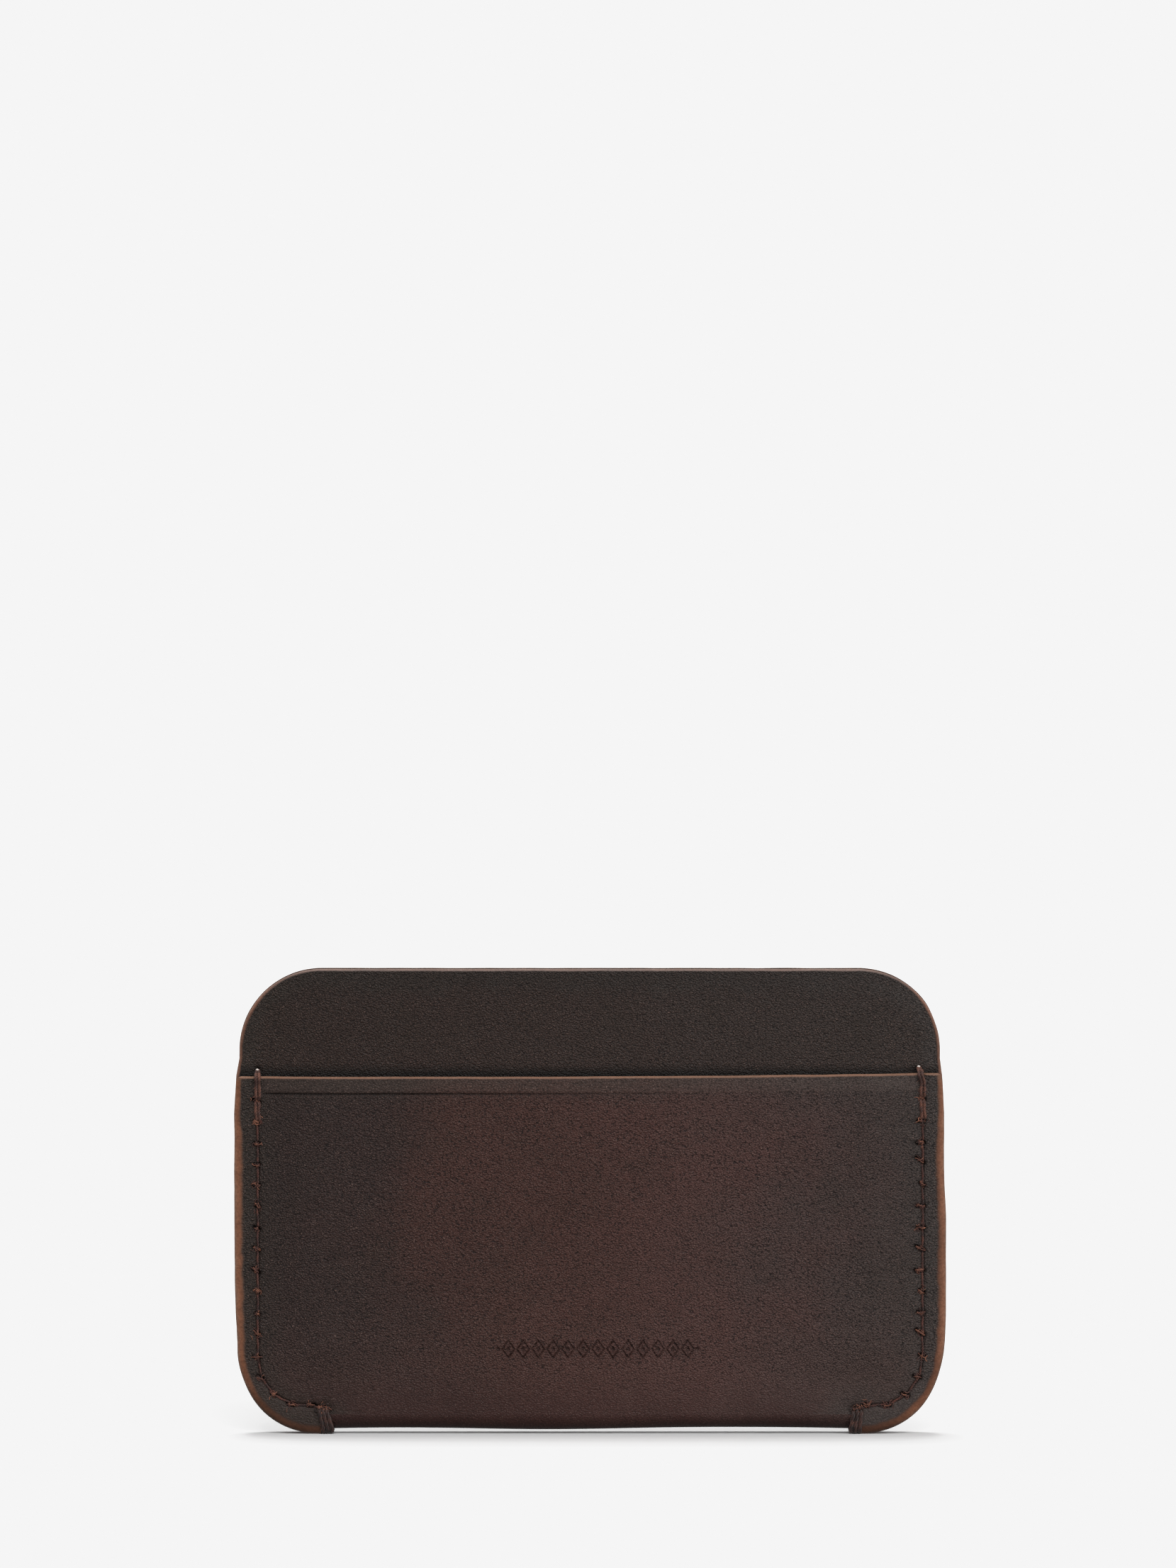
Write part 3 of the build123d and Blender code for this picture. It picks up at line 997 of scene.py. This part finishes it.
def wall_points(marked):
    """Where a wall's outer face needs points and how close they may lie, the most
    needed first."""
    outline = wall_outline(STEP)
    groups = [(rings(outline, WALL_RINGS), 0.045)]
    for side in (LEFT, RIGHT):
        for slit in slits(side):
            groups.append((grid(slit.min(axis=0) - 0.4, slit.max(axis=0) + 0.4, 0.13), 0.09))
        groups.append((beside(seam_line(side), SEAM_OFFSETS, 0.2), 0.09))
    crease = np.array([(-SEAM_X, MOUTH - CREASE_DROP), (SEAM_X, MOUTH - CREASE_DROP)])
    groups.append((beside(crease, CREASE_OFFSETS, 0.6), 0.07))
    if marked:
        half = np.array(ORNAMENT_HALF) + 0.4
        low, high = np.array(ORNAMENT) - half, np.array(ORNAMENT) + half
        groups.append((grid(low, high, 0.12), 0.08))
    groups.append((grid((-HALF_WIDTH, 0), (HALF_WIDTH, MOUTH), 0.95), 0.55))
    return groups


def coarse_points(outline):
    """Points for a face that is mostly hidden."""
    low, high = outline.min(axis=0), outline.max(axis=0)
    return [(rings(outline, COARSE_RINGS), 0.05), (grid(low, high, COARSE_STEP), COARSE_STEP * 0.6)]


def build_wrap(materials):
    """Front wall, bottom fold and back wall, welded into one closed sheet."""
    build = Builder()
    outline = wall_outline(STEP)
    tiny = 1e-6
    joining = (np.abs(outline[:, 1] - FOLD_AXIS) < tiny) & (np.abs(outline[:, 0]) <= FOLD_END + tiny)
    open_edges = [k for k in range(len(outline)) if joining[k] and joining[(k + 1) % len(outline)]]
    for facing, seed in WALL_SEED.items():
        marked = facing == FRONT

        def outer(x, z):
            return wall_outer(x, z, seed, marked)

        def inner(x, z):
            near = np.minimum(side_inset(x, z), MOUTH - z)
            return wall_inner(x, z), face_values(near / INNER_ROUND, near)

        add_plate(build, outline, outer, inner, wall_points(marked), coarse_points(outline),
                  facing, lambda x, z: wall_drift(x, z, seed), open_edges)
    add_fold(build, np.sort(outline[joining, 0]))
    return build.make("wrap_leather", materials, weld=0.002)


def add_fold(build, x):
    """The bend under the case, from the front wall's edge to the back wall's, at the
    places x across. Its floor rises inward from both ends and sags near the middle."""
    level = np.full(len(x), FOLD_AXIS)
    rise, sag, sag_place, sag_width = 0.26, 0.36, -6, 15
    floor = 0.6 + rise * (1 - (x / FOLD_END) ** 4) - sag * bell(x - sag_place, sag_width)
    fronts, backs = ((wall_outer(x, level, seed, marked=False)[0], wall_inner(x, level))
                     for seed in (WALL_SEED[FRONT], WALL_SEED[BACK]))
    turns = np.radians(np.linspace(0, 180, 25))
    away_from_cuts = 9.0
    layers = []
    for layer in range(2):
        drop = FOLD_AXIS - floor - layer * WRAP_THICKNESS
        places, values = [], []
        for angle in turns:
            reach = fronts[layer] if angle <= math.pi / 2 else backs[layer]
            places.append(np.column_stack([x, -reach * math.cos(angle), level - drop * math.sin(angle)]))
            values.append(face_values(np.full(len(x), away_from_cuts), away_from_cuts))
        start = build.add(np.vstack(places), [], values=np.vstack(values))
        layers.append(start + np.arange(len(turns) * len(x)).reshape(len(turns), len(x)))

    # The outer and the inner face, then both ends
    for ids, slot, way in ((layers[0], SKIN, 1), (layers[1], FLESH, -1)):
        quads = [(ids[i, j], ids[i + 1, j], ids[i + 1, j + 1], ids[i, j + 1])[::way]
                 for i in range(len(turns) - 1) for j in range(len(x) - 1)]
        build.link(quads, slot)
    for column, way in ((0, -1), (len(x) - 1, 1)):
        a, b = layers[0][:, column], layers[1][:, column]
        build.link([(a[i], a[i + 1], b[i + 1], b[i])[::way] for i in range(len(turns) - 1)])


def build_divider(name, facing, materials):
    """One tall sheet, finely shaped only where it shows above the mouth."""
    height, seed = DIVIDER_TOP[facing], DIVIDER_SEED[facing]
    outline = divider_outline(height, STEP)
    build = Builder()
    shown = MOUTH - 2
    outer_points = [(rings(outline, DIVIDER_RINGS), 0.035)]
    for side in (LEFT, RIGHT):
        hole = np.array((side * SEAM_X, START_HOLE))
        outer_points.append((grid(hole - 0.9, hole + 0.9, 0.12), 0.09))
    outer_points.append((grid((-HALF_WIDTH, shown), (HALF_WIDTH, height), 0.95), 0.55))
    outer_points.append((grid((-HALF_WIDTH, 0), (HALF_WIDTH, shown), 3.0), 1.8))

    def outer(x, z):
        return divider_outer(x, z, height, seed)

    def inner(x, z):
        inset = divider_inset(x, z, height)
        return divider_inner(x, z, height), face_values(inset / DIVIDER_INNER_ROUND, inset)

    add_plate(build, outline, outer, inner, outer_points, coarse_points(outline),
              facing, lambda x, z: drift(x, z, seed), rows=3)
    return build.make(name, materials)


# ---- thread

# Material slots of the thread pieces. A tack has only the first two.
STITCH, FIBRE, NUB, MOUTH_STRAND = range(4)


def spline(points, step):
    """A smooth line through points, sampled evenly."""
    points = np.array(points, float)
    fenced = np.vstack([2 * points[0] - points[1], points, 2 * points[-1] - points[-2]])
    out = []
    for p0, p1, p2, p3 in zip(fenced, fenced[1:], fenced[2:], fenced[3:]):
        count = max(2, round(np.linalg.norm(p2 - p1) / step))
        t = (np.arange(count) / count)[:, None]
        out.append(0.5 * (2 * p1 + (p2 - p0) * t + (2 * p0 - 5 * p1 + 4 * p2 - p3) * t ** 2
                          + (3 * p1 - p0 - 3 * p2 + p3) * t ** 3))
    return np.vstack(out + [points[-1:]])


def frames(line):
    """Two directions across a line at each of its points, turning as little as they can."""
    along = np.gradient(line, axis=0)
    along /= np.linalg.norm(along, axis=1)[:, None]
    side = np.cross(along[0], (0.3, 0.2, 0.93))
    side /= np.linalg.norm(side)
    sides = []
    for direction in along:
        side = side - direction * side.dot(direction)
        side /= np.linalg.norm(side)
        sides.append(side)
    sides = np.array(sides)
    return sides, np.cross(along, sides)


def add_tube(build, line, radius, sides=6, slot=0):
    """A closed tube along a line, its radius one number or one per point."""
    first, second = frames(line)
    radius = np.broadcast_to(radius, len(line))[:, None]
    places = []
    for k in range(sides):
        angle = 2 * math.pi * k / sides
        places.append(line + radius * (first * math.cos(angle) + second * math.sin(angle)))
    places = np.stack(places, axis=1).reshape(-1, 3)
    quads = [(i * sides + k, i * sides + (k + 1) % sides,
              (i + 1) * sides + (k + 1) % sides, (i + 1) * sides + k)
             for i in range(len(line) - 1) for k in range(sides)]
    last = (len(line) - 1) * sides
    caps = [tuple(range(sides))[::-1], tuple(range(last, last + sides))]
    build.add(places, quads + caps, slot)


def add_rope(build, line, radius, plies=3, lay=1.15, start=0.0, slot=0):
    """Plies twisted round each other along a line; lay is one turn's length."""
    first, second = frames(line)
    steps = np.linalg.norm(np.diff(line, axis=0), axis=1)
    run = np.concatenate([[0], np.cumsum(steps)])
    for ply in range(plies):
        angle = (start + run / lay + ply / plies) * 2 * math.pi
        offset = first * np.cos(angle)[:, None] + second * np.sin(angle)[:, None]
        add_tube(build, line + offset * radius * 0.5, radius * 0.54, 6, slot)


def add_hair(build, rng, root, out, reach, slot=STITCH):
    """One loose fibre standing off the thread."""
    root, out = np.array(root), np.array(out, float)
    bend = np.array([rng.uniform(-1, 1) for _ in range(3)])
    tip = root + out * reach * rng.uniform(0.5, 1.0) + bend * reach * 0.5
    middle = (root + tip) / 2 + np.array([rng.uniform(-1, 1) for _ in range(3)]) * reach * 0.25
    line = spline([root, middle, tip], reach / 6)
    thick, thin = 0.028, 0.012
    add_tube(build, line, np.linspace(thick, thin, len(line)), 4, slot)


def lay_on(points, facing):
    """Lays (x, z, height above the leather) points on a wall, as 3-D points."""
    x, z, height = np.array(points, float).T
    seed = WALL_SEED[facing]
    depth = wall_skin(x, z, seed) + height
    x, z = wall_drift(x, z, seed)
    return np.column_stack([x, facing * depth, z])


def stitch(build, start, end, facing, rng, offset=0.0, radius=THREAD_RADIUS, height=-0.25,
           slot=STITCH):
    """One visible stitch: up out of a hole, along the groove and down the next. It lies
    at a height over the leather, and offset to the left of its way."""
    start, end = np.array(start), np.array(end)
    along = (end - start) / np.linalg.norm(end - start)
    across = np.array([-along[1], along[0]])
    lean, kink = rng.uniform(0.02, 0.10), rng.uniform(-0.05, 0.05)
    sink, dive, crown = 0.55, 0.12, 0.06
    rows = []
    for t in np.linspace(0, 1, 24):
        dip = sink * (1 - smooth(min(t, 1 - t) / dive))
        wander = lean * (2 * t - 1) + kink * math.sin(3 * math.pi * t)
        at = start + (end - start) * t + across * (offset + wander)
        rows.append((at[0], at[1], float(height - dip + crown * math.sin(math.pi * t))))
    line = spline(lay_on(rows, facing), 0.1)
    add_rope(build, line, radius, start=rng.random(), slot=slot)
    for _ in range(rng.randint(0, 3)):
        way = (rng.uniform(-1, 1), facing * 0.4, rng.uniform(-0.6, 0.6))
        add_hair(build, rng, line[rng.randrange(6, len(line) - 6)], way, rng.uniform(0.2, 0.5))


def tangle(build, at, size, count, facing, rng):
    """Short curled fibres round a point on a wall, some of them in dark thread."""
    for _ in range(count):
        x, z = at[0] + rng.gauss(0, 0.3) * size, at[1] + rng.gauss(0, 0.3) * size
        turn, curl = rng.uniform(0, 2 * math.pi), rng.uniform(-1.6, 1.6)
        length = size * rng.uniform(0.35, 0.9)
        rows = []
        for t in np.linspace(-0.5, 0.5, 5):
            way = turn + curl * t
            rise = 0.1 * (1 - 4 * t * t) * rng.uniform(0.6, 1.6) - 0.08
            rows.append((x + length * t * math.cos(way), z + length * t * math.sin(way), rise))
        thick = rng.uniform(0.035, 0.075)
        slot = rng.choice((STITCH, STITCH, FIBRE))
        add_tube(build, spline(lay_on(rows, facing), 0.06), thick, 5, slot)


def knot(build, slit, facing, rng):
    """The other thread's fibres, pulled up through a slit and lying along it."""
    (left, high), (right, low) = slit
    for _ in range(rng.randint(1, 3)):
        first = left - rng.uniform(-0.15, 0.2), high + rng.uniform(-0.12, 0.12)
        last = right + rng.uniform(-0.1, 0.25), low + rng.uniform(-0.15, 0.12)
        rise = rng.uniform(0.02, 0.14)
        rows = [(first[0], first[1], -0.12)]
        for t in (0.3, 0.65):
            rows.append((first[0] + (last[0] - first[0]) * t,
                         first[1] + (last[1] - first[1]) * t + rng.uniform(-0.1, 0.1), rise))
        rows.append((last[0], last[1], -0.16))
        line = spline(lay_on(rows, facing), 0.05)
        slot = rng.choice((STITCH, FIBRE, FIBRE))
        add_rope(build, line, rng.uniform(0.06, 0.11), plies=2, lay=0.5, start=rng.random(), slot=slot)
        for _ in range(2):
            way = (rng.uniform(-1, 0.8), facing * 0.4, rng.uniform(-0.8, 0.8))
            add_hair(build, rng, line[rng.randrange(len(line))], way, rng.uniform(0.2, 0.5), FIBRE)
    size = rng.uniform(0.6, 1.1) * (1.35 if high < TANGLED_BELOW else 1.0)
    tangle(build, ((left + right) / 2, (high + low) / 2), size, rng.randint(6, 12), facing, rng)


def mouth_strand(side, facing, lateral, lift):
    """A strand from the start hole over the mouth edge to the first hole in the wall. It
    lies lateral to the seam's line and is lifted a little off the leather."""
    x = side * SEAM_X + lateral
    top = x + START_SHIFT[side]
    mouth = x + START_SHIFT[side] * 0.65
    rise = float(mouth_rise(x))
    base = DIVIDER_THICKNESS + 0.05
    over = BORDER_DEPTH + STRAND_RADIUS
    points = [(top - lateral * 0.5, facing * (base - 0.3), START_HOLE + rise),
              (top - lateral * 0.3, facing * (base + 0.26), START_HOLE + rise - 0.12),
              (mouth, facing * (over - 0.32 + lift), MOUTH + rise + 0.22),
              (mouth, facing * (over + 0.02 + lift), MOUTH + rise - 0.3)]
    floor = seam_holes(side)[0][1]
    rows = [(x, MOUTH - 1.3, 0.1 + lift), (x + lateral * 0.2, floor + 0.9, 0.08 + lift),
            (x, floor + 0.35, -0.02), (x - lateral * 0.3, floor + 0.05, -0.6)]
    return spline(np.vstack([points, lay_on(rows, facing)]), 0.1)


def build_seam_thread(name, side, facing, seed, materials):
    """One thread of a seam, as it shows on its own face."""
    rng = random.Random(seed)
    build = Builder()
    holes = seam_holes(side)
    for lateral, lift in ((-0.22, 0.04), (0.23, 0.0)):
        line = mouth_strand(side, facing, lateral, lift)
        add_rope(build, line, STRAND_RADIUS, start=rng.random(), slot=MOUTH_STRAND)
        stitch(build, holes[0] - (0, 0.15), holes[1], facing, rng,
               side * lateral, STRAND_RADIUS, lift, MOUTH_STRAND)
        for _ in range(22):
            way = (rng.uniform(-1, 1), facing * 0.5, rng.uniform(-0.6, 0.6))
            root = line[rng.randrange(4, len(line) - 4)]
            add_hair(build, rng, root, way, rng.uniform(0.3, 0.6), FIBRE)
    for x, z in ((side * SEAM_X - 0.4, MOUTH - 3.2), tuple(holes[1])):
        tangle(build, (x, z), 1.1, 12, facing, rng)
    for first, second in zip(holes[1:], holes[2:]):
        stitch(build, first, second, facing, rng)
    last = (side * (TACK_X + 0.35), TACK_TOP + 0.1)
    stitch(build, holes[-1], last, facing, rng)
    for slit in slits(side)[1:]:
        knot(build, slit, facing, rng)
    add_nub(build, side, facing, rng)
    return build.make(name, materials, crisp=80)


def add_nub(build, side, facing, rng):
    """The melted thread end, a small glossy bead at the start hole."""
    x = side * SEAM_X + START_SHIFT[side] - 0.05
    centre = np.array([x, facing * (DIVIDER_THICKNESS + 0.16), START_HOLE + mouth_rise(x) + 0.1])
    shape = rng.random() * 50
    rows, columns = 10, 16
    places = []
    for i in range(rows + 1):
        for j in range(columns):
            polar, turn = math.pi * i / rows, 2 * math.pi * j / columns
            ring = math.sin(polar)
            way = Vector((ring * math.cos(turn), ring * math.sin(turn), math.cos(polar)))
            size = 0.21 + 0.05 * noise.noise(way * 2.2 + Vector((shape, 0, 0)))
            places.append(centre + np.array(way) * size * (1.1, 0.9, 0.95))
    quads = [(i * columns + j, (i + 1) * columns + j, (i + 1) * columns + (j + 1) % columns,
              i * columns + (j + 1) % columns) for i in range(rows) for j in range(columns)]
    build.add(places, quads, NUB)


def add_tack_fuzz(build, at, depth, rng):
    """A bunch of short curled fibres over a tack's top."""
    for _ in range(34):
        root = np.array([at[0] + rng.gauss(0, 0.45), depth, at[1] + rng.gauss(0, 0.3)])
        turn, length = rng.uniform(0, 2 * math.pi), rng.uniform(0.25, 0.6)
        way = np.array([math.cos(turn), 0, math.sin(turn)]) * length
        side_step = np.array([-way[2], 0, way[0]]) * rng.uniform(-0.5, 0.5)
        lift = np.array([0, math.copysign(rng.uniform(0.06, 0.3), depth), 0])
        line = spline([root - way * 0.5, root + side_step + lift, root + way * 0.5], 0.06)
        add_tube(build, line, rng.uniform(0.04, 0.085), 5, rng.choice((STITCH, FIBRE)))


def build_tack(name, side, seed, materials):
    """Strands wound tight round the bottom edge, crossed and fuzzy at their tops."""
    rng = random.Random(seed)
    build = Builder()
    out = BORDER_DEPTH + 0.15
    low = NOTCH_HEIGHT - 0.18
    spread_below = 1.12
    middle = side * TACK_X + TACK_SHIFT[side]
    top_middle, low_middle = middle - TACK_LEAN[side], middle + TACK_LEAN[side]
    for i in range(3):
        lateral = TACK_PITCH * (i - 1)
        top_x = top_middle + lateral
        low_x = low_middle + lateral * spread_below
        top = TACK_TOP + rng.uniform(-0.25, 0.25)
        half = [(top_x, 0.9, top - 0.1), (top_x, out - 0.35, top), (top_x, out + 0.02, top - 0.45),
                ((top_x + low_x) / 2, out + 0.02 + 0.03 * i, (top + low) / 2),
                (low_x, out - 0.02, low + 0.55), (low_x, out - 0.32, low + 0.03)]
        front = [(x, FRONT * y, z) for x, y, z in half]
        back = [(x, BACK * y, z) for x, y, z in half[::-1]]
        route = front + [(low_x, FRONT * 0.8, low), (low_x, BACK * 0.8, low)] + back
        lay, turn = rng.uniform(2.4, 3.6), rng.random()
        add_rope(build, spline(route, 0.1), TACK_RADIUS, lay=lay, start=turn)
    for facing in (FRONT, BACK):
        for _ in range(7):
            centre = np.array([top_middle, facing * (out - 0.14), TACK_TOP + 0.1])
            spread = [np.array([rng.uniform(-0.9, 0.9), 0, rng.uniform(-0.5, 0.5)]) for _ in range(2)]
            lift = np.array([0, facing * rng.uniform(0.05, 0.25), 0])
            line = spline([centre + spread[0] - lift, centre + lift, centre + spread[1] - lift], 0.08)
            turn, slot = rng.random(), rng.choice((STITCH, STITCH, FIBRE))
            add_rope(build, line, 0.1, plies=2, lay=0.6, start=turn, slot=slot)
        add_tack_fuzz(build, (top_middle, TACK_TOP + 0.2), facing * (out - 0.02), rng)
        for _ in range(26):
            root = (middle + rng.uniform(-0.7, 0.7), facing * out, rng.uniform(1.0, TACK_TOP + 0.3))
            way = (rng.uniform(-1, 1), facing * 0.5, rng.uniform(-0.5, 0.8))
            add_hair(build, rng, root, way, rng.uniform(0.25, 0.6), FIBRE)
    return build.make(name, materials, crisp=80)


# ---- the scene

def main():
    """Lights the set, makes every piece, and puts each in its CAD node's place."""
    set_exposure()
    add_camera()
    add_world()
    add_sun("top_softbox", (0.03, -0.2, -1.0), 1.8, 22)
    add_sun("front_softbox", (-0.05, 1.0, -1.0), 1.2, 35)
    add_sun("right_softbox", (-0.7, 0.7, -0.36), 0.75, 30)
    add_floor()

    wrap = leather("dark_leather", WRAP_TONES_AND_SHEEN, RAW_TONES, high_edge=(0.0494, 0.0501),
                   high_tone=linear(122, 94, 78), rim_width=8.0, mouth_shade=False)
    tall = leather("divider_leather", DIVIDER_TONES_AND_SHEEN, RIM_TONES, high_edge=(0.0600, 0.0645),
                   high_tone=linear(100, 90, 86), rim_width=4.0, mouth_shade=True)
    inside_skin = flesh("leather_flesh")
    thread = [yarn("thread", linear(46, 23, 19), linear(98, 54, 42), 0.5),
              # Lighter thread for the knots and loose fibres: a painted highlight where they stand up
              # into the light
              yarn("thread_ends_painted_highlight", linear(84, 44, 32), linear(160, 104, 78), 0.5),
              # Near white: a painted highlight on the glossy melted thread end
              yarn("melted_thread_painted_highlight", linear(226, 212, 202), linear(246, 238, 232), 0.1),
              yarn("mouth_thread", linear(60, 32, 26), linear(118, 74, 58), 0.5)]
    tack_thread = [yarn("tack_thread", linear(36, 19, 16), linear(80, 47, 38), 0.5), thread[1]]

    placed = {"outer_wrap": build_wrap([wrap, inside_skin])}
    for name, facing in (("front_divider", FRONT), ("back_divider", BACK)):
        placed[name] = build_divider(name + "_leather", facing, [tall, inside_skin])
    seed = 100
    for word, side in (("left", LEFT), ("right", RIGHT)):
        for kind, facing in (("needle", FRONT), ("bobbin", BACK)):
            node = f"{word}_{kind}_thread"
            seed += 1
            placed[node] = build_seam_thread(node + "_yarn", side, facing, seed, thread)
        node = f"{word}_bar_tack"
        placed[node] = build_tack(node + "_yarn", side, seed + 50, tack_thread)

    for node, piece in placed.items():
        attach(piece, "root")
        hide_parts(node)


main()
